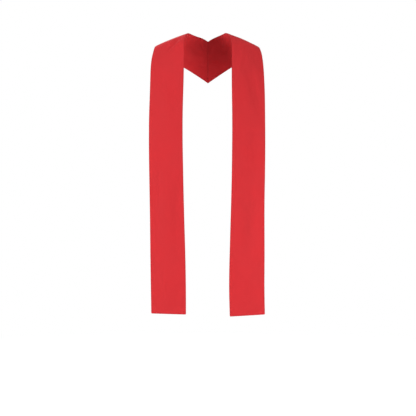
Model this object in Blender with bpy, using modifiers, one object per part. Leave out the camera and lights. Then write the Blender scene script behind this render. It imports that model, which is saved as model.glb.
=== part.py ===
"""Clerical stole, as worn: two straight lined bands that meet in a mitred seam at the nape, pass over
the shoulders and hang down the front to just below the knee.

Metres, +Z up. The wearer faces -Y, so the wearer's right is at -X. The origin is at the nape: the
point of the V where the two neck edges meet.
"""

import bpy
import numpy as np

MM = 0.001

# Driving dimensions
CLOTH_THICKNESS = 2.0 * MM
SEAM_GAP = 0.3 * MM
SPANS_ACROSS = 12
ROWS_IN_STRETCH = {"panel": 4, "shoulder": 4, "back": 4, "past_seam": 1}

# The box that trims each half at the centre-back seam: its width past the seam, and its reach in Y and Z
TRIM_WIDTH = 40 * MM
TRIM_BACK = (-30 * MM, 80 * MM)
TRIM_UP = (-220 * MM, 40 * MM)

CLOTH_RED = (0.66, 0.037, 0.044)
CLOTH_ROUGHNESS = 0.85

# One row for each section of a band, from the hem up the front, over the shoulder and down to the
# nape. The neck edge and the arm edge each have their distance out from the middle, back from the
# nape and up from it. Crown is how far the cloth rises between its two edges. All in millimetres.
SECTION_COLUMNS = (
    "stretch", "neck_out", "neck_back", "neck_up", "arm_out", "arm_back", "arm_up", "crown",
)
RIGHT_SECTIONS = (
    ("panel",     86.0, -187, -1092,  222.9, -172, -1089,  2),
    ("panel",     86.3, -189,  -990,  224.4, -173,  -989,  2),
    ("panel",     88.5, -190,  -865,  226.3, -172,  -865,  2),
    ("panel",     94.0, -190,  -675,  228.9, -166,  -675,  2),
    ("panel",     98.0, -191,  -490,  232.3, -160,  -490,  3),
    ("panel",     99.0, -186,  -300,  232.4, -147,  -300,  4),
    ("panel",     96.0, -171,  -175,  229.0, -128,  -175,  5),
    ("shoulder",  95.2, -162,  -122,  228.0, -117,  -122,  6),
    ("shoulder",  94.8, -154,   -82,  225.0, -103,   -84,  6),
    ("shoulder",  94.2, -144,   -40,  217.6,  -80,   -45,  8),
    ("shoulder",  93.0, -134,   -14,  209.9,  -62,   -26, 10),
    ("shoulder",  88.5, -119,     7,  199.2,  -45,   -29, 11),
    ("shoulder",  82.0,  -99,    20,  187.0,  -32,   -39, 11),
    ("back",      76.0,  -75,    24,  172.0,  -14,   -54, 10),
    ("back",      67.0,  -46,    24,  143.0,    8,   -77,  8),
    ("back",      50.0,  -23,    20,  103.0,   26,  -100,  6),
    ("back",      27.0,   -8,    14,   52.0,   38,  -130,  5),
    ("past_seam",  0.0,    0,     0,    0.0,   43,  -165,  5),
    ("past_seam", -10.0,   2,    -7,  -10.0,   45,  -172,  5),
)
LEFT_SECTIONS = (
    ("panel",     85.2, -187, -1100,  223.6, -173, -1093,  2),
    ("panel",     82.6, -189,  -990,  221.8, -174,  -989,  2),
    ("panel",     84.4, -190,  -865,  222.3, -173,  -865,  2),
    ("panel",     89.8, -190,  -675,  222.3, -164,  -675,  2),
    ("panel",     93.8, -191,  -490,  225.4, -157,  -490,  3),
    ("panel",     94.8, -186,  -300,  225.9, -142,  -300,  4),
    ("panel",     93.4, -171,  -175,  224.0, -122,  -175,  5),
    ("shoulder",  93.5, -162,  -122,  221.8, -109,  -122,  6),
    ("shoulder",  93.6, -154,   -82,  218.8,  -94,   -84,  6),
    ("shoulder",  93.4, -144,   -40,  210.3,  -70,   -41,  8),
    ("shoulder",  92.0, -134,   -14,  201.0,  -53,   -27, 10),
    ("shoulder",  87.5, -119,     7,  190.6,  -39,   -31, 11),
    ("shoulder",  79.0,  -99,    20,  176.5,  -26,   -42, 11),
    ("back",      70.0,  -75,    25,  162.5,  -11,   -54, 10),
    ("back",      61.0,  -46,    25,  137.0,    8,   -76,  8),
    ("back",      46.0,  -23,    21,   99.0,   26,  -100,  6),
    ("back",      26.0,   -8,    14,   51.0,   38,  -130,  5),
    ("past_seam",  0.0,    0,     0,    0.0,   43,  -165,  5),
    ("past_seam", -10.0,   2,    -7,  -10.0,   45,  -172,  5),
)

# The largest soft folds. Each is a ridge, or a trough where its rise is below zero, that fades out
# all round. Its middle lies from_hem up the band and out from the neck edge, and lean turns its
# length from the band's own towards the arm edge. Millimetres, and degrees for lean.
FOLD_COLUMNS = ("from_hem", "out", "length", "breadth", "rise", "lean")
RIGHT_FOLDS = (
    (1066, 24, 130, 36, 3.0, 42),
    (1068, 50, 130, 36, -3.5, 42),
    (840, 36, 240, 60, -2.5, 3),
    (410, 66, 470, 100, 6.5, 3),
    (115, 76, 260, 92, 4.0, -9),
    (1200, 58, 170, 54, -4.5, -28),
    (1270, 98, 150, 60, 3.5, 24),
)
LEFT_FOLDS = (
    (1035, 97, 140, 64, -3.5, 16),
    (885, 96, 310, 62, -5.0, 13),
    (640, 94, 360, 80, -3.0, 1),
    (370, 87, 400, 88, -6.5, 2),
    (130, 70, 250, 90, 2.0, -4),
    (1190, 66, 180, 56, -4.0, -30),
    (1275, 92, 140, 62, 3.5, 20),
)


def columns_of(names, rows):
    """A table's columns by name, as arrays."""
    return {name: np.array(column) for name, column in zip(names, zip(*rows))}


def natural_spline(knots, values, at):
    """A natural cubic spline through values, one row a knot, read at the given places."""
    step = np.diff(knots)
    slope = np.diff(values, axis=0) / step[:, None]
    count = len(knots)
    system = np.eye(count)
    turning = np.zeros_like(values)
    for k in range(1, count - 1):
        system[k, k - 1:k + 2] = step[k - 1], 2 * (step[k - 1] + step[k]), step[k]
        turning[k] = 6 * (slope[k] - slope[k - 1])
    bend = np.linalg.solve(system, turning)
    span = np.clip(np.searchsorted(knots, at, side="right") - 1, 0, count - 2)
    width = step[span][:, None]
    after = (at - knots[span])[:, None]
    before = width - after
    return (
        (bend[span] * before ** 3 + bend[span + 1] * after ** 3) / (6 * width)
        + (values[span] / width - bend[span] * width / 6) * before
        + (values[span + 1] / width - bend[span + 1] * width / 6) * after
    )


def point_columns(table, edge):
    """An edge's points, in metres."""
    return np.stack([table[edge + "_out"], table[edge + "_back"], table[edge + "_up"]], axis=1) * MM


def row_places(stretches, knots):
    """Where the rows of the mesh lie along the band: closer together where it bends more."""
    places = [knots[:1]]
    for stretch, start, end in zip(stretches, knots[:-1], knots[1:]):
        count = ROWS_IN_STRETCH[stretch]
        places.append(start + (end - start) * np.arange(1, count + 1) / count)
    return np.concatenate(places)


def outward(grid):
    """Unit normals of a grid on its side away from the wearer."""
    along = np.gradient(grid, axis=0)
    across = np.gradient(grid, axis=1)
    normal = np.cross(across, along)
    return normal / np.linalg.norm(normal, axis=2, keepdims=True)


def distances(grid, axis):
    """How far each point lies from the grid's first row or column, measured along the cloth."""
    steps = np.linalg.norm(np.diff(grid, axis=axis), axis=2)
    start = np.zeros_like(np.take(steps, [0], axis=axis))
    return np.concatenate([start, np.cumsum(steps, axis=axis)], axis=axis)


def fold_height(folds, from_hem, out):
    """The folds' rise at each point: each is a raised cosine along and across its own length."""
    height = np.zeros_like(from_hem)
    fold = columns_of(FOLD_COLUMNS, folds)
    for k in range(len(folds)):
        lean = np.radians(fold["lean"][k])
        up = from_hem - fold["from_hem"][k] * MM
        side = out - fold["out"][k] * MM
        lengthwise = (up * np.cos(lean) - side * np.sin(lean)) / (fold["length"][k] * MM)
        crosswise = (up * np.sin(lean) + side * np.cos(lean)) / (fold["breadth"][k] * MM)
        fade = np.cos(np.pi * np.clip(lengthwise, -0.5, 0.5)) ** 2
        shape = np.cos(np.pi * np.clip(crosswise, -0.5, 0.5)) ** 2
        height += fold["rise"][k] * MM * fade * shape
    return height


def band_face(sections, folds):
    """The face of a band at +X as a grid of points, [row up from the hem, place out from the neck]."""
    table = columns_of(SECTION_COLUMNS, sections)
    neck, arm = point_columns(table, "neck"), point_columns(table, "arm")
    middle_steps = np.linalg.norm(np.diff((neck + arm) / 2, axis=0), axis=1)
    knots = np.concatenate([[0], np.cumsum(middle_steps)])
    shape = np.hstack([neck, arm, table["crown"][:, None] * MM])
    rows = natural_spline(knots, shape, row_places(table["stretch"], knots))
    neck_edge, arm_edge, crown = rows[:, None, 0:3], rows[:, None, 3:6], rows[:, 6:7]
    across = np.linspace(0, 1, SPANS_ACROSS + 1)
    flat = neck_edge + (arm_edge - neck_edge) * across[:, None]
    rise = crown * 4 * across * (1 - across)
    rise = rise + fold_height(folds, distances(flat, 0), distances(flat, 1))
    return flat + outward(flat) * rise[..., None]


def cloth_material():
    """Matt red woven cloth."""
    material = bpy.data.materials.new("stole_red_cloth")
    material.use_nodes = True
    shader = material.node_tree.nodes["Principled BSDF"]
    shader.inputs["Base Color"].default_value = (*CLOTH_RED, 1)
    shader.inputs["Roughness"].default_value = CLOTH_ROUGHNESS
    shader.inputs["Metallic"].default_value = 0
    return material


def grid_quads(rows, columns, mirrored):
    """The quads of a grid, turned so that they face outwards, also where its X is mirrored."""
    corner = np.arange(rows * columns).reshape(rows, columns)
    quads = np.stack([corner[:-1, :-1], corner[:-1, 1:], corner[1:, 1:], corner[1:, :-1]], axis=2)
    quads = quads.reshape(-1, 4)
    return quads[:, ::-1] if mirrored else quads


def seam_cutter(name, side, cutters):
    """A box that trims a half of the band where it reaches the centre-back seam."""
    middle = -side * (TRIM_WIDTH - SEAM_GAP) / 2
    centre = (middle, sum(TRIM_BACK) / 2, sum(TRIM_UP) / 2)
    bpy.ops.mesh.primitive_cube_add(size=1, location=centre)
    cutter = bpy.context.object
    cutter.name = name
    cutter.scale = (TRIM_WIDTH, TRIM_BACK[1] - TRIM_BACK[0], TRIM_UP[1] - TRIM_UP[0])
    bpy.ops.object.transform_apply(location=False, rotation=False, scale=True)
    cutter.hide_render = True
    cutter.display_type = "WIRE"
    move_to(cutter, cutters)
    return cutter


def move_to(piece, collection):
    """Leaves the piece in this collection alone."""
    for holder in list(piece.users_collection):
        holder.objects.unlink(piece)
    collection.objects.link(piece)


def half(name, sections, folds, side, parts, cutters):
    """One half of the stole: a band of cloth with its wall, trimmed at the centre-back seam."""
    face = band_face(sections, folds)
    face[..., 0] *= side
    mesh = bpy.data.meshes.new(name)
    quads = grid_quads(*face.shape[:2], mirrored=side < 0)
    mesh.from_pydata(face.reshape(-1, 3).tolist(), [], quads.tolist())
    mesh.shade_smooth()
    piece = bpy.data.objects.new(name, mesh)
    parts.objects.link(piece)
    wall = piece.modifiers.new("cloth_wall", "SOLIDIFY")
    wall.thickness = CLOTH_THICKNESS
    wall.offset = -1
    wall.use_even_offset = True
    seam = piece.modifiers.new("centre_back_seam", "BOOLEAN")
    seam.operation = "DIFFERENCE"
    seam.solver = "EXACT"
    seam.object = seam_cutter(name + "_seam_trim", side, cutters)
    return piece


def new_collection(name):
    collection = bpy.data.collections.new(name)
    bpy.context.scene.collection.children.link(collection)
    return collection


def main():
    for thing in list(bpy.data.objects):
        bpy.data.objects.remove(thing, do_unlink=True)
    parts = new_collection("clerical_stole")
    cutters = new_collection("clerical_stole_cutters")
    cloth = cloth_material()
    nape = bpy.data.objects.new("nape", None)
    parts.objects.link(nape)
    for name, sections, folds, side in (
        ("right_half", RIGHT_SECTIONS, RIGHT_FOLDS, -1),
        ("left_half", LEFT_SECTIONS, LEFT_FOLDS, 1),
    ):
        piece = half(name, sections, folds, side, parts, cutters)
        piece.data.materials.append(cloth)
        piece.parent = nape


if __name__ == "__main__":
    main()
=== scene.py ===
"""The looks of the clerical stole: its two cloth halves, the red woven cloth, the camera, the floor and
the light. Metres, +Z up. The front faces -Y, the right half is at -X and the origin is at the nape."""

import bpy
import numpy as np
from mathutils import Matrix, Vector


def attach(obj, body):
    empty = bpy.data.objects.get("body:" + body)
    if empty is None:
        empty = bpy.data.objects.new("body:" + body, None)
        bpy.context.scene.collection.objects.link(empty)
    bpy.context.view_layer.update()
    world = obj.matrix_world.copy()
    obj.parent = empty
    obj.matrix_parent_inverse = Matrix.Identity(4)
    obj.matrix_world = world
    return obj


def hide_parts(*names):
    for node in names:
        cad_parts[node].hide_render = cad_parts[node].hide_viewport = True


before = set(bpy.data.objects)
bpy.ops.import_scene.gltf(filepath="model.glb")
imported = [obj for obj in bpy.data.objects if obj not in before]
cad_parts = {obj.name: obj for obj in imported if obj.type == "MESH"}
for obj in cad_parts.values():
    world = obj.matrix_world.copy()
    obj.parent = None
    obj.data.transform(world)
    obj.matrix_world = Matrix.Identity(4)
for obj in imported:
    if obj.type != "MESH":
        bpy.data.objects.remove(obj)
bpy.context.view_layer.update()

MM = 0.001

# The cut, the same for both halves: a straight band with its nape end mitred, so its long edges differ
BAND_WIDTH = 139.7 * MM
CORNER_ROUND = 4.0 * MM

# The wall. The face cloth rolls over the edge, and the turned allowance under it shows as a low step.
THICKNESS = 2.0 * MM
EDGE_ROLL = 1.5 * MM
ALLOWANCE_WIDTH = 11 * MM
ALLOWANCE_FADE = 3.0 * MM
ALLOWANCE_STEP = 0.22 * MM
BACKING_SEAM_IN = 3.0 * MM
BACKING_SEAM_WIDTH = 1.8 * MM
BACKING_SEAM_DEPTH = 0.35 * MM

# The centre-back seam: the groove along it, and how much wall the groove leaves. The cloth is
# straightened onto the seam over the last stretch before it, where both halves have the same gathers.
SEAM_GROOVE = 1.8 * MM
SEAM_WALL_LEFT = 0.35
SEAM_STRAIGHTENED = 40 * MM
SEAM_SEED = 5

# The grid: rows along the band that crowd towards its ends, and columns that crowd towards its edges
END_ROWS = np.array([0, 0.12, 0.4, 0.8, 1.3, 1.9, 2.6, 3.3, 4.0]) * MM
ROW_STEP = 3.4 * MM
EDGE_COLUMNS = np.array([
    0, 0.08, 0.3, 0.65, 1.1, 1.6, 2.1, 2.6, 3.1, 3.6, 4.3, 5.6, 7.4, 9.4, 11.2, 13.2,
]) * MM
MIDDLE_COLUMNS = 36

# No diagonal in a corner's square counts as shorter, so that nothing is divided by zero outside it
LEAST_DIAGONAL = 1e-9

# One row for each section of a band, from the hem up the front, over the shoulder and down to the
# nape, as in the solids. Each edge's distance out from the middle, back from the nape and up from it,
# and how far the cloth rises between its edges. All in millimetres. The last row lies past the nape
# seam, and only steers the curves there.
SECTION_COLUMNS = (
    "neck_out", "neck_back", "neck_up", "arm_out", "arm_back", "arm_up", "crown",
)
RIGHT_SECTIONS = (
    (86.0, -187, -1092,  222.9, -172, -1089,  2),
    (86.3, -189,  -990,  224.4, -173,  -989,  2),
    (88.5, -190,  -865,  226.3, -172,  -865,  2),
    (94.0, -190,  -675,  228.9, -166,  -675,  2),
    (98.0, -191,  -490,  232.3, -160,  -490,  3),
    (99.0, -186,  -300,  232.4, -147,  -300,  4),
    (96.0, -171,  -175,  229.0, -128,  -175,  5),
    (95.2, -162,  -122,  228.0, -117,  -122,  6),
    (94.8, -154,   -82,  225.0, -103,   -84,  6),
    (94.2, -144,   -40,  217.6,  -80,   -45,  8),
    (93.0, -134,   -14,  209.9,  -62,   -26, 10),
    (88.5, -119,     7,  199.2,  -45,   -29, 11),
    (82.0,  -99,    20,  187.0,  -32,   -39, 11),
    (76.0,  -75,    24,  172.0,  -14,   -54, 10),
    (67.0,  -46,    24,  143.0,    8,   -77,  8),
    (50.0,  -23,    20,  103.0,   26,  -100,  6),
    (27.0,   -8,    14,   52.0,   38,  -130,  5),
    (0.0,     0,     0,    0.0,   43,  -165,  5),
    (-10.0,   2,    -7,  -10.0,   45,  -172,  5),
)
LEFT_SECTIONS = (
    (85.2, -187, -1100,  223.6, -173, -1093,  2),
    (82.6, -189,  -990,  221.8, -174,  -989,  2),
    (84.4, -190,  -865,  222.3, -173,  -865,  2),
    (89.8, -190,  -675,  222.3, -164,  -675,  2),
    (93.8, -191,  -490,  225.4, -157,  -490,  3),
    (94.8, -186,  -300,  225.9, -142,  -300,  4),
    (93.4, -171,  -175,  224.0, -122,  -175,  5),
    (93.5, -162,  -122,  221.8, -109,  -122,  6),
    (93.6, -154,   -82,  218.8,  -94,   -84,  6),
    (93.4, -144,   -40,  210.3,  -70,   -41,  8),
    (92.0, -134,   -14,  201.0,  -53,   -27, 10),
    (87.5, -119,     7,  190.6,  -39,   -31, 11),
    (79.0,  -99,    20,  176.5,  -26,   -42, 11),
    (70.0,  -75,    25,  162.5,  -11,   -54, 10),
    (61.0,  -46,    25,  137.0,    8,   -76,  8),
    (46.0,  -23,    21,   99.0,   26,  -100,  6),
    (26.0,   -8,    14,   51.0,   38,  -130,  5),
    (0.0,     0,     0,    0.0,   43,  -165,  5),
    (-10.0,   2,    -7,  -10.0,   45,  -172,  5),
)

# Folds and creases: a ridge, or a trough where the rise is below zero. Its middle lies from_hem up the
# band and out from the neck edge, and lean turns its length from the band's own towards the arm edge.
# Millimetres, and degrees for lean. The folds are the largest ones, which the solids have too.
FOLD_COLUMNS = ("from_hem", "out", "length", "breadth", "rise", "lean")
RIGHT_FOLDS = (
    (1066, 24, 130, 36, 3.0, 42),
    (1068, 50, 130, 36, -3.5, 42),
    (840, 36, 240, 60, -2.5, 3),
    (410, 66, 470, 100, 6.5, 3),
    (115, 76, 260, 92, 4.0, -9),
    (1200, 58, 170, 54, -4.5, -28),
    (1270, 98, 150, 60, 3.5, 24),
)
LEFT_FOLDS = (
    (1035, 97, 140, 64, -3.5, 16),
    (885, 96, 310, 62, -5.0, 13),
    (640, 94, 360, 80, -3.0, 1),
    (370, 87, 400, 88, -6.5, 2),
    (130, 70, 250, 90, 2.0, -4),
    (1190, 66, 180, 56, -4.0, -30),
    (1275, 92, 140, 62, 3.5, 20),
)

# The creases of the front panels, then those that fan out from the neck edge and the seam behind
RIGHT_CREASES = (
    (1066, 36, 110, 18, 0.6, 42),
    (1070, 43, 105, 16, -1.4, 42),
    (560, 112, 250, 38, 0.8, 3),
    (392, 54, 230, 36, 0.7, 2),
    (250, 30, 200, 32, -0.8, -4),
    (905, 86, 190, 34, -0.8, -6),
    (96, 84, 200, 26, 0.8, -9),
    (1150, 118, 90, 30, 2.0, 12),
    (1182, 22, 92, 26, 2.6, -62),
    (1222, 16, 78, 24, -2.1, 66),
    (1262, 32, 92, 26, 2.3, -48),
    (1298, 62, 84, 22, -1.9, -22),
    (1308, 108, 90, 26, 2.1, 14),
)
LEFT_CREASES = (
    (1010, 40, 120, 28, 0.9, -16),
    (905, 72, 260, 46, -1.8, 13),
    (890, 114, 220, 36, 0.5, 12),
    (1045, -2, 170, 84, 2.2, 0),
    (735, 90, 80, 13, 0.8, 73),
    (520, 34, 270, 40, 0.8, -3),
    (372, 70, 240, 44, -0.5, 2),
    (215, 112, 190, 32, 0.8, -5),
    (1140, 108, 100, 34, -2.2, -10),
    (1170, 18, 74, 22, 2.0, 70),
    (1208, 28, 98, 26, -2.4, -58),
    (1246, 14, 64, 20, 1.9, 58),
    (1290, 46, 92, 24, 2.1, -30),
    (1302, 98, 86, 26, -1.8, 18),
)

# How far the cloth strays from smooth, as soft random waves of three lengths, in millimetres
UNEVEN_COLUMNS = ("rise", "wave")
UNEVEN_WAVES = ((0.9, 170), (0.35, 60), (0.10, 21))

# The gathers beside stitching: their rise, their wave along it, and how far they reach from it. They
# are drawn out, so that each is longer away from the stitching than along it.
NAPE_GATHER = {"rise": 0.45 * MM, "wave": 11 * MM, "reach": 20 * MM}
EDGE_GATHER = {"rise": 0.16 * MM, "wave": 15 * MM, "reach": 8 * MM}
GATHER_DRAWN_OUT = 0.35


def columns_of(names, rows):
    """A table's columns by name, as arrays."""
    return {name: np.array(column, dtype=float) for name, column in zip(names, zip(*rows))}


def natural_spline(knots, values, at):
    """A natural cubic spline through values, one row a knot, read at the given places. The bend at the
    inner knots solves the usual three-term system, and each span is a cubic of its ends' bends."""
    step = np.diff(knots)
    slope = np.diff(values, axis=0) / step[:, None]
    count = len(knots)
    system = np.eye(count)
    inner = np.arange(1, count - 1)
    system[inner, inner - 1] = step[:-1]
    system[inner, inner] = 2 * (step[:-1] + step[1:])
    system[inner, inner + 1] = step[1:]
    turning = np.zeros_like(values)
    turning[1:-1] = 6 * np.diff(slope, axis=0)
    bend = np.linalg.solve(system, turning)
    span = np.clip(np.searchsorted(knots, at, side="right") - 1, 0, count - 2)
    width = step[span][:, None]
    after = (at - knots[span])[:, None]
    before = width - after
    return (
        (bend[span] * before ** 3 + bend[span + 1] * after ** 3) / (6 * width)
        + (values[span] / width - bend[span] * width / 6) * before
        + (values[span + 1] / width - bend[span + 1] * width / 6) * after
    )


def distances(grid, axis):
    """How far each point lies from the grid's first row or column, measured along the cloth."""
    steps = np.linalg.norm(np.diff(grid, axis=axis), axis=2)
    start = np.zeros_like(np.take(steps, [0], axis=axis))
    return np.concatenate([start, np.cumsum(steps, axis=axis)], axis=axis)


def unit(vectors):
    """The vectors, each made one long."""
    return vectors / np.linalg.norm(vectors, axis=-1, keepdims=True)


def outward(grid):
    """Unit normals of a grid on its outer side: its direction across the band times the one along it."""
    return unit(np.cross(np.gradient(grid, axis=1), np.gradient(grid, axis=0)))


def raised_cosine(place):
    """cos squared of pi times the place, and 0 past half a unit either way."""
    return np.cos(np.pi * np.clip(place, -0.5, 0.5)) ** 2


def step_down(place, edge, fade):
    """1 before the edge and 0 past it, with a smooth change of the given width."""
    share = np.clip((edge + fade / 2 - place) / fade, 0, 1)
    return share * share * (3 - 2 * share)


def fold_height(folds, from_hem, out):
    """The sum of the folds' rises at each point. Each is its rise times a raised cosine along its own
    length and another across its breadth."""
    height = np.zeros_like(from_hem)
    fold = columns_of(FOLD_COLUMNS, folds)
    for k in range(len(folds)):
        lean = np.radians(fold["lean"][k])
        up = from_hem - fold["from_hem"][k] * MM
        side = out - fold["out"][k] * MM
        lengthwise = (up * np.cos(lean) - side * np.sin(lean)) / (fold["length"][k] * MM)
        crosswise = (up * np.sin(lean) + side * np.cos(lean)) / (fold["breadth"][k] * MM)
        height += fold["rise"][k] * MM * raised_cosine(lengthwise) * raised_cosine(crosswise)
    return height


def smooth_random(seed, first, second, wave):
    """A smooth random height between about -1 and 1 at each pair of distances: cubic blends of random
    values on a square lattice one wave wide, which reaches past the distances on all sides."""
    low = np.array([first.min(), second.min()]) - wave
    counts = ((np.array([first.max(), second.max()]) + 3 * wave - low) / wave).astype(int) + 2
    lattice = np.random.default_rng(seed).uniform(-1, 1, counts)
    place = np.stack([first, second], axis=-1) - low
    cell = (place / wave).astype(int)
    share = place / wave - cell
    share = share * share * (3 - 2 * share)
    row, column = cell[..., 0], cell[..., 1]
    near = lattice[row, column] * (1 - share[..., 1]) + lattice[row, column + 1] * share[..., 1]
    far = lattice[row + 1, column] * (1 - share[..., 1]) + lattice[row + 1, column + 1] * share[..., 1]
    return near * (1 - share[..., 0]) + far * share[..., 0]


def unevenness(seed, from_hem, out):
    """The sum of soft random waves of each length in the table."""
    waves = columns_of(UNEVEN_COLUMNS, UNEVEN_WAVES)
    return sum(
        rise * MM * smooth_random(seed + k, from_hem, out, wave * MM)
        for k, (rise, wave) in enumerate(zip(waves["rise"], waves["wave"]))
    )


def gathers(seed, along, away, gather):
    """Gathers beside stitching: a soft random wave along it, drawn out away from it, that fades as the
    exponential of the distance."""
    wave = smooth_random(seed, along, away * GATHER_DRAWN_OUT, gather["wave"])
    return gather["rise"] * wave * np.exp(-away / gather["reach"])


def row_places(length):
    """Distances along the band for the rows: crowded at the hem and at the nape, and even between."""
    middle = np.linspace(END_ROWS[-1], length - END_ROWS[-1], int(length / ROW_STEP))
    return np.concatenate([END_ROWS[:-1], middle, length - END_ROWS[-2::-1]])


def column_shares(width):
    """Shares of the band's width for the columns: crowded at both edges and even between."""
    middle = np.linspace(EDGE_COLUMNS[-1], width - EDGE_COLUMNS[-1], MIDDLE_COLUMNS + 2)[1:-1]
    places = np.concatenate([EDGE_COLUMNS, middle, width - EDGE_COLUMNS[::-1]])
    return places / width


def corner_moves(from_edge, from_hem):
    """How far a corner's points move in from the long edge and up from the hem, so that it is round. In
    the corner's square each point stays in line with the square's inner corner, and its distance
    from there is scaled by its longer offset over its diagonal."""
    side = np.clip(CORNER_ROUND - from_edge, 0, None)
    down = np.clip(CORNER_ROUND - from_hem, 0, None)
    diagonal = np.maximum(np.hypot(side, down), LEAST_DIAGONAL)
    shrink = 1 - np.where(side + down > 0, np.maximum(side, down) / diagonal, 1)
    return side * shrink, down * shrink


def band_grid(sections):
    """The band before its folds, on a grid, with its crown's height. Both edges and the crown are
    natural splines along the band, and between the edges the cloth is straight."""
    table = columns_of(SECTION_COLUMNS, sections)
    neck = np.stack([table["neck_out"], table["neck_back"], table["neck_up"]], axis=1) * MM
    arm = np.stack([table["arm_out"], table["arm_back"], table["arm_up"]], axis=1) * MM
    middle_steps = np.linalg.norm(np.diff((neck + arm) / 2, axis=0), axis=1)
    knots = np.concatenate([[0], np.cumsum(middle_steps)])
    shape = np.hstack([neck, arm, table["crown"][:, None] * MM])
    rows = natural_spline(knots, shape, row_places(knots[-2]))
    across = column_shares(BAND_WIDTH)
    neck_edge, arm_edge, crown = rows[:, None, 0:3], rows[:, None, 3:6], rows[:, 6:7]
    return neck_edge + (arm_edge - neck_edge) * across[:, None], crown * 4 * across * (1 - across)


def wall_heights(edge, to_seam):
    """How far the face and the underside stand off the middle of the wall. Both fall to nothing on a
    quarter circle at the edges, so they meet there. The face adds the allowance's step, the underside
    loses a groove where the backing is sewn on, and both thin into the groove of the nape seam."""
    roll = np.clip(1 - edge / EDGE_ROLL, 0, 1)
    body = THICKNESS / 2 * np.sqrt(1 - roll * roll)
    into_seam = 1 - (1 - SEAM_WALL_LEFT) * step_down(to_seam, SEAM_GROOVE / 2, SEAM_GROOVE)
    turned = step_down(np.minimum(edge, to_seam), ALLOWANCE_WIDTH, ALLOWANCE_FADE) * (1 - roll)
    groove = BACKING_SEAM_DEPTH * raised_cosine((edge - BACKING_SEAM_IN) / BACKING_SEAM_WIDTH)
    return (body + ALLOWANCE_STEP * turned) * into_seam, (body - groove) * into_seam


def straightened(surface, to_seam):
    """The surface with its end moved onto the seam's own plane, which fades out along the band."""
    fade = step_down(to_seam, SEAM_STRAIGHTENED / 2, SEAM_STRAIGHTENED)
    surface = surface.copy()
    surface[..., 0] -= surface[-1:, :, 0] * fade
    return surface


def closed_wall(face, under):
    """The face and underside grids as one closed shell: its points, its quads, which face outwards, and
    which of the grids' points they are. The grids share their hem and long edges, and a strip of quads
    closes the end at the nape."""
    rows, columns = face.shape[:2]
    outer = np.arange(rows * columns).reshape(rows, columns)
    inner = outer + rows * columns
    inner[0], inner[:, 0], inner[:, -1] = outer[0], outer[:, 0], outer[:, -1]
    face_quads = np.stack([outer[:-1, :-1], outer[:-1, 1:], outer[1:, 1:], outer[1:, :-1]], axis=2)
    under_quads = np.stack([inner[:-1, :-1], inner[1:, :-1], inner[1:, 1:], inner[:-1, 1:]], axis=2)
    end_quads = np.stack([outer[-1, :-1], outer[-1, 1:], inner[-1, 1:], inner[-1, :-1]], axis=1)
    quads = np.concatenate([face_quads.reshape(-1, 4), under_quads.reshape(-1, 4), end_quads])
    used, quads = np.unique(quads, return_inverse=True)
    points = np.concatenate([face.reshape(-1, 3), under.reshape(-1, 3)])
    return points[used], quads.reshape(-1, 4), used


def mesh_from(name, points, quads):
    """A smooth mesh of quads from whole arrays."""
    mesh = bpy.data.meshes.new(name)
    mesh.vertices.add(len(points))
    mesh.vertices.foreach_set("co", points.astype(np.float32).ravel())
    mesh.loops.add(quads.size)
    mesh.loops.foreach_set("vertex_index", quads.astype(np.int32).ravel())
    mesh.polygons.add(len(quads))
    mesh.polygons.foreach_set("loop_start", np.arange(0, quads.size, 4, dtype=np.int32))
    mesh.update(calc_edges=True)
    mesh.validate()
    mesh.shade_smooth()
    return mesh


def add_attribute(mesh, name, values):
    """A number of its own for each point of the mesh."""
    mesh.attributes.new(name, "FLOAT", "POINT").data.foreach_set("value", values.astype(np.float32))


def add_cloth_map(mesh, out, from_hem):
    """The UV map named cloth, in metres: out from the neck edge and up from the hem."""
    corners = np.zeros(len(mesh.loops), dtype=np.int32)
    mesh.loops.foreach_get("vertex_index", corners)
    places = np.stack([out, from_hem], axis=1)[corners]
    mesh.uv_layers.new(name="cloth").data.foreach_set("uv", places.astype(np.float32).ravel())


def places_on(flat):
    """How far each point of the flat band lies, along the cloth, out from the neck edge, in from the arm
    edge, up from the hem, from the nearest of those finished edges, and from the nape seam."""
    out, from_hem = distances(flat, 1), distances(flat, 0)
    to_arm = out[:, -1:] - out
    return {
        "out": out,
        "to_arm": to_arm,
        "from_hem": from_hem,
        "from_edge": np.minimum(np.minimum(out, to_arm), from_hem),
        "to_seam": from_hem[-1:] - from_hem,
    }


def drape_height(place, crown, folds, seed):
    """How far the cloth rises from the flat band: its crown, then its folds, unevenness and gathers
    beside the edges, all of which settle before the nape seam, and the gathers beside that seam."""
    out, from_hem, to_seam = place["out"], place["from_hem"], place["to_seam"]
    drape = fold_height(folds, from_hem, out) + unevenness(seed, from_hem, out)
    drape = drape + gathers(seed + len(UNEVEN_WAVES), from_hem, place["from_edge"], EDGE_GATHER)
    settled = 1 - step_down(to_seam, SEAM_STRAIGHTENED / 2, SEAM_STRAIGHTENED)
    return crown + drape * settled + gathers(SEAM_SEED, out, to_seam, NAPE_GATHER)


def wall_middle(flat, place, rise):
    """The middle of the wall: the flat band moved along its normals by its rise, less half the wall, and
    with the hem's two corners moved in across and along the band so that they are round."""
    neck_move, neck_lift = corner_moves(place["out"], place["from_hem"])
    arm_move, arm_lift = corner_moves(place["to_arm"], place["from_hem"])
    across, along = unit(np.gradient(flat, axis=1)), unit(np.gradient(flat, axis=0))
    middle = flat + outward(flat) * (rise - THICKNESS / 2)[..., None]
    return middle + across * (neck_move - arm_move)[..., None] + along * (neck_lift + arm_lift)[..., None]


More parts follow.
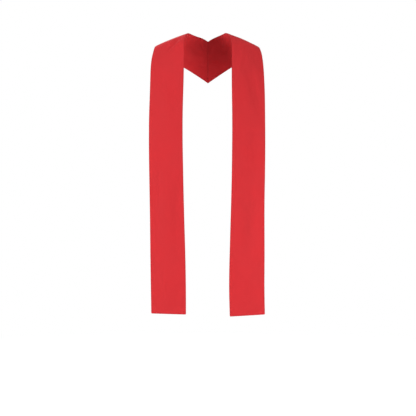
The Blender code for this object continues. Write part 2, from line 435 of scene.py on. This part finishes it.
def cloth_half(name, sections, folds, side, seed):
    """One half of the stole as a closed shell of cloth: a face above the middle of the wall and an
    underside below it. Its attributes give each point's distance from the nearest finished edge and
    from the nape seam, and whether it is on the underside."""
    flat, crown = band_grid(sections)
    place = places_on(flat)
    middle = wall_middle(flat, place, drape_height(place, crown, folds, seed))
    normal = outward(middle)
    above, below = wall_heights(place["from_edge"], place["to_seam"])
    face = straightened(middle + normal * above[..., None], place["to_seam"])
    under = straightened(middle - normal * below[..., None], place["to_seam"])
    points, quads, used = closed_wall(face, under)
    mesh = mesh_from(name, points * (side, 1, 1), quads if side > 0 else quads[:, ::-1])
    values = {key: np.tile(grid.ravel(), 2)[used] for key, grid in place.items()}
    add_cloth_map(mesh, values["out"], values["from_hem"])
    add_attribute(mesh, "from_edge", values["from_edge"])
    add_attribute(mesh, "to_seam", values["to_seam"])
    add_attribute(mesh, "underside", (used >= crown.size).astype(float))
    piece = bpy.data.objects.new(name, mesh)
    bpy.context.scene.collection.objects.link(piece)
    return piece


class Nodes:
    """Adds nodes to a tree and joins them, with short calls for the kinds this file uses."""

    def __init__(self, tree):
        self.tree = tree

    def add(self, kind, inputs=(), **settings):
        """A new node with its settings, and with its inputs joined or set."""
        node = self.tree.nodes.new(kind)
        for name, value in settings.items():
            setattr(node, name, value)
        for name, value in dict(inputs).items():
            self.put(node.inputs[name], value)
        return node

    def put(self, socket, value):
        """Joins the socket to another one, or sets it to a value."""
        if isinstance(value, bpy.types.NodeSocket):
            self.tree.links.new(value, socket)
        else:
            socket.default_value = value

    def math(self, operation, *values):
        """One operation, such as a product or a sine, on up to three values."""
        node = self.add("ShaderNodeMath", operation=operation)
        for socket, value in zip(node.inputs, values):
            self.put(socket, value)
        return node.outputs[0]

    def noise(self, vector, scale, detail=2.0):
        """A smooth noise between about 0 and 1, each finer layer of it half as strong as the last."""
        inputs = {"Vector": vector, "Scale": scale, "Detail": detail, "Roughness": 0.5}
        return self.add("ShaderNodeTexNoise", inputs).outputs["Fac"]

    def scaled(self, vector, scale):
        """The vector times a scale for each of its parts."""
        return self.add("ShaderNodeMapping", {"Vector": vector, "Scale": scale}).outputs["Vector"]

    def number(self, name):
        """The mesh's own attribute of that name."""
        return self.add("ShaderNodeAttribute", attribute_name=name).outputs["Fac"]

    def mapped(self, value, source, target):
        """The value carried from the source's low and high ends to the target's, and held there."""
        ends = {"From Min": source[0], "From Max": source[1], "To Min": target[0], "To Max": target[1]}
        return self.add("ShaderNodeMapRange", {"Value": value, **ends}).outputs["Result"]


# The cloth's colour and gloss. Each pair is a range's two ends: the clouds' noise is mapped to a shade of
# the red and a roughness, and the distances in from the edges and from the nape seam each to a painted
# shade, which stands in for the shade of the rolled edges and the shadow in the seam's groove.
CLOTH_RED = (0.632, 0.0224, 0.0284)
GLOSS = 0.25
SHEEN = 0.06
SHEEN_ROUGHNESS = 0.45
CLOUDS_A_METRE = 9.0
CLOUD_DETAIL = 3.0
CLOUD_NOISE = (0.3, 0.7)
CLOUD_SHADE = (0.98, 1.02)
CLOUD_ROUGHNESS = (0.78, 0.88)
PAINTED_EDGE_SHADE_ZONE = (0.5 * MM, 4 * MM)
PAINTED_EDGE_SHADE = (0.86, 1.0)
PAINTED_SEAM_SHADE_ZONE = (0, 1.6 * MM)
PAINTED_SEAM_SHADE = (0.6, 1.0)

# The weave, its slubs and the backing's stitches. A height of 1 stands for WEAVE_DEPTH, and slubs are
# counted by the metre, along their thread and across it.
THREAD = 0.55 * MM
WEAVE_DEPTH = 0.06 * MM
WEAVE_STRENGTH = 0.5
SLUBS_ALONG = 45
SLUBS_ACROSS = 900
SLUB_SHADE = 0.05
SLUB_HEIGHT = 0.8
STITCH_LENGTH = 5.0 * MM
STITCH_DEPTH = 3.0


def plain_weave(nodes, out, up):
    """The weave's height: the product of two sine waves, one thread wide, across and along the band."""
    weft = nodes.math("SINE", nodes.math("MULTIPLY", out, np.pi / THREAD))
    warp = nodes.math("SINE", nodes.math("MULTIPLY", up, np.pi / THREAD))
    return nodes.math("MULTIPLY", weft, warp)


def thread_slubs(nodes, place):
    """Slubs: the sum of a noise drawn out along the warp and one drawn out along the weft."""
    lengthwise = nodes.noise(nodes.scaled(place, (SLUBS_ACROSS, SLUBS_ALONG, 1)), 1.0)
    crosswise = nodes.noise(nodes.scaled(place, (SLUBS_ALONG, SLUBS_ACROSS, 1)), 1.0)
    return nodes.math("ADD", lengthwise, crosswise)


def backing_stitches(nodes, up, from_edge):
    """A sine wave along the backing's groove on the underside, which dimples it at each stitch."""
    stitch = nodes.math("SINE", nodes.math("MULTIPLY", up, 2 * np.pi / STITCH_LENGTH))
    off_groove = nodes.math("ABSOLUTE", nodes.math("SUBTRACT", from_edge, BACKING_SEAM_IN))
    in_groove = nodes.mapped(off_groove, (0, BACKING_SEAM_WIDTH), (1.0, 0.0))
    sewn = nodes.math("MULTIPLY", in_groove, nodes.number("underside"))
    return nodes.math("MULTIPLY", nodes.math("MULTIPLY", stitch, sewn), STITCH_DEPTH)


def cloth_tone_and_painted_shade(nodes, slubs, clouds, from_edge):
    """How deep the red is: even but for the slubs and the clouds, and darkened with painted shade over
    the last few millimetres at the edges, where the cloth rolls under, and with a painted shadow in the
    line of the nape seam."""
    shade = nodes.math("MULTIPLY_ADD", nodes.math("SUBTRACT", slubs, 1.0), SLUB_SHADE, 1.0)
    shade = nodes.math("MULTIPLY", shade, nodes.mapped(clouds, CLOUD_NOISE, CLOUD_SHADE))
    # Painted shade: the red darkened over the last few millimetres at the edges, standing in for the
    # shade where the cloth rolls under
    shade = nodes.math("MULTIPLY", shade, nodes.mapped(from_edge, PAINTED_EDGE_SHADE_ZONE, PAINTED_EDGE_SHADE))
    # Painted shadow: the red darkened along the line of the nape seam, standing in for the shadow in its
    # groove
    to_seam = nodes.number("to_seam")
    return nodes.math("MULTIPLY", shade, nodes.mapped(to_seam, PAINTED_SEAM_SHADE_ZONE, PAINTED_SEAM_SHADE))


def red_cloth():
    """Matt red plain-woven cloth. A broad noise clouds its colour and its roughness, and its bump is the
    weave with its slubs, and the backing's stitches."""
    material = bpy.data.materials.new("red_cloth")
    material.use_nodes = True
    nodes = Nodes(material.node_tree)
    shader = material.node_tree.nodes["Principled BSDF"]
    place = nodes.add("ShaderNodeUVMap", uv_map="cloth").outputs["UV"]
    split = nodes.add("ShaderNodeSeparateXYZ", {"Vector": place})
    out, up = split.outputs["X"], split.outputs["Y"]
    from_edge = nodes.number("from_edge")
    slubs = thread_slubs(nodes, place)
    clouds = nodes.noise(place, CLOUDS_A_METRE, CLOUD_DETAIL)
    colour = nodes.add("ShaderNodeVectorMath", {0: CLOTH_RED}, operation="SCALE")
    nodes.put(colour.inputs["Scale"], cloth_tone_and_painted_shade(nodes, slubs, clouds, from_edge))
    nodes.put(shader.inputs["Base Color"], colour.outputs["Vector"])
    nodes.put(shader.inputs["Roughness"], nodes.mapped(clouds, CLOUD_NOISE, CLOUD_ROUGHNESS))
    shader.inputs["Specular IOR Level"].default_value = GLOSS
    shader.inputs["Sheen Weight"].default_value = SHEEN
    shader.inputs["Sheen Roughness"].default_value = SHEEN_ROUGHNESS
    woven = nodes.math("MULTIPLY_ADD", slubs, SLUB_HEIGHT, plain_weave(nodes, out, up))
    height = nodes.math("ADD", woven, backing_stitches(nodes, up, from_edge))
    relief = {"Height": height, "Strength": WEAVE_STRENGTH, "Distance": WEAVE_DEPTH}
    bump = nodes.add("ShaderNodeBump", relief)
    nodes.put(shader.inputs["Normal"], bump.outputs["Normal"])
    return material


def stole(cloth):
    """Both halves of the stole, each in the place of its own solid. A row gives a half's node, sections,
    folds with creases, side of the middle, and seed for its unevenness."""
    halves = (
        ("right_half", RIGHT_SECTIONS, RIGHT_FOLDS + RIGHT_CREASES, -1, 11),
        ("left_half", LEFT_SECTIONS, LEFT_FOLDS + LEFT_CREASES, 1, 23),
    )
    for node, sections, folds, side, seed in halves:
        piece = cloth_half(node + "_cloth", sections, folds, side, seed)
        piece.data.materials.append(cloth)
        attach(piece, "root")
        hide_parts(node)


# The picture: 416 pixels across, 3.91 mm each where the front panels hang, seen level from 5 m
PICTURE_PIXELS = 416
METRES_PER_PIXEL = 3.91 * MM
VIEW_DISTANCE = 5.0
PANEL_FRONT = -0.190
VIEW_HEIGHT = -0.675
SENSOR = 36.0
FAR_END = 100.0

# The floor and the surround. The floor turns from shaded to pure white between the two distances of
# FLOOR_SHADED. FLOOR_LIGHT and SURROUND_LIGHT are the light that each gives the cloth, as a share of
# what the camera sees.
FLOOR_UP = -1.475
FLOOR_HALF = 14.0
FLOOR_SHADED = (1.0, 3.0)
FLOOR_GLOW = 0.62
FLOOR_MATT = (0.85, 0.85, 0.85, 1)
FLOOR_LIGHT = 0.1
SURROUND_LIGHT = 0.2
WHITE = (1, 1, 1, 1)

# The lamps: metres, and watts for power
LAMP_COLUMNS = ("name", "place", "aim", "size", "power")
LAMPS = (
    ("left_lamp", (-2.0, -1.3, -0.3), (0, -0.15, -0.6), 0.8, 34),
    ("right_lamp", (1.2, -1.3, -0.5), (0, -0.15, -0.6), 0.8, 7),
    ("right_low_lamp", (1.2, -1.3, -0.73), (0, -0.15, -0.6), 0.8, 10),
    ("top_lamp", (0, -0.6, 1.4), (0, -0.1, 0), 1.0, 11),
    ("back_lamp", (-1.6, 2.6, 1.4), (0, 0, -0.2), 1.4, 75),
)


def camera():
    """A level camera at the photograph's distance and height."""
    data = bpy.data.cameras.new("camera")
    data.sensor_width = SENSOR
    data.lens = SENSOR * VIEW_DISTANCE / (PICTURE_PIXELS * METRES_PER_PIXEL)
    data.clip_end = FAR_END
    piece = bpy.data.objects.new("camera", data)
    piece.location = (0, PANEL_FRONT - VIEW_DISTANCE, VIEW_HEIGHT)
    piece.rotation_euler = (np.pi / 2, 0, 0)
    bpy.context.scene.collection.objects.link(piece)
    bpy.context.scene.camera = piece


def gentle_light(nodes, share):
    """A strength of 1 for what the camera sees, and of the given share for all other rays."""
    seen = nodes.add("ShaderNodeLightPath").outputs["Is Camera Ray"]
    return nodes.mapped(seen, (0.0, 1.0), (share, 1.0))


def white_floor():
    """The floor's finish. Near the stole it is matt and glows a little, so that a soft shade still
    shows, and further out it is as white as the backdrop, so that no horizon shows."""
    material = bpy.data.materials.new("white_floor")
    material.use_nodes = True
    nodes = Nodes(material.node_tree)
    material.node_tree.nodes.remove(material.node_tree.nodes["Principled BSDF"])
    light = gentle_light(nodes, FLOOR_LIGHT)
    soft_light = nodes.math("MULTIPLY", light, FLOOR_GLOW)
    matt = nodes.add("ShaderNodeBsdfDiffuse", {"Color": FLOOR_MATT})
    glow = nodes.add("ShaderNodeEmission", {"Color": WHITE, "Strength": soft_light})
    near = nodes.add("ShaderNodeAddShader", {0: matt.outputs[0], 1: glow.outputs[0]})
    far = nodes.add("ShaderNodeEmission", {"Color": WHITE, "Strength": light})
    place = nodes.add("ShaderNodeTexCoord").outputs["Object"]
    level = nodes.add("ShaderNodeVectorMath", {0: place, 1: (1, 1, 0)}, operation="MULTIPLY")
    reach = nodes.add("ShaderNodeVectorMath", {0: level.outputs["Vector"]}, operation="LENGTH")
    share = nodes.mapped(reach.outputs["Value"], FLOOR_SHADED, (0.0, 1.0))
    mix = nodes.add("ShaderNodeMixShader", {0: share, 1: near.outputs[0], 2: far.outputs[0]})
    nodes.put(material.node_tree.nodes["Material Output"].inputs["Surface"], mix.outputs[0])
    return material


def floor(finish):
    """A flat square floor below the hems, facing up."""
    sides = (-FLOOR_HALF, FLOOR_HALF)
    corners = [(x, y, FLOOR_UP) for y in sides for x in sides]
    mesh = bpy.data.meshes.new("floor")
    mesh.from_pydata(corners, [], [(0, 1, 3, 2)])
    mesh.materials.append(finish)
    piece = bpy.data.objects.new("floor", mesh)
    bpy.context.scene.collection.objects.link(piece)


def backdrop():
    """An even white surround. The camera sees it pure white, and it lights the cloth more gently."""
    world = bpy.data.worlds.new("white_surround")
    world.use_nodes = True
    bpy.context.scene.world = world
    nodes = Nodes(world.node_tree)
    ground = world.node_tree.nodes["Background"]
    ground.inputs["Color"].default_value = WHITE
    nodes.put(ground.inputs["Strength"], gentle_light(nodes, SURROUND_LIGHT))


def lamps():
    """Soft square lamps, each aimed at a point on the stole."""
    for row in LAMPS:
        lamp = dict(zip(LAMP_COLUMNS, row))
        data = bpy.data.lights.new(lamp["name"], "AREA")
        data.size = lamp["size"]
        data.energy = lamp["power"]
        piece = bpy.data.objects.new(lamp["name"], data)
        piece.location = lamp["place"]
        aim = Vector(lamp["aim"]) - Vector(lamp["place"])
        piece.rotation_euler = aim.to_track_quat("-Z", "Y").to_euler()
        piece.visible_camera = False
        bpy.context.scene.collection.objects.link(piece)


bpy.context.scene.view_settings.view_transform = "Standard"
camera()
stole(red_cloth())
floor(white_floor())
backdrop()
lamps()
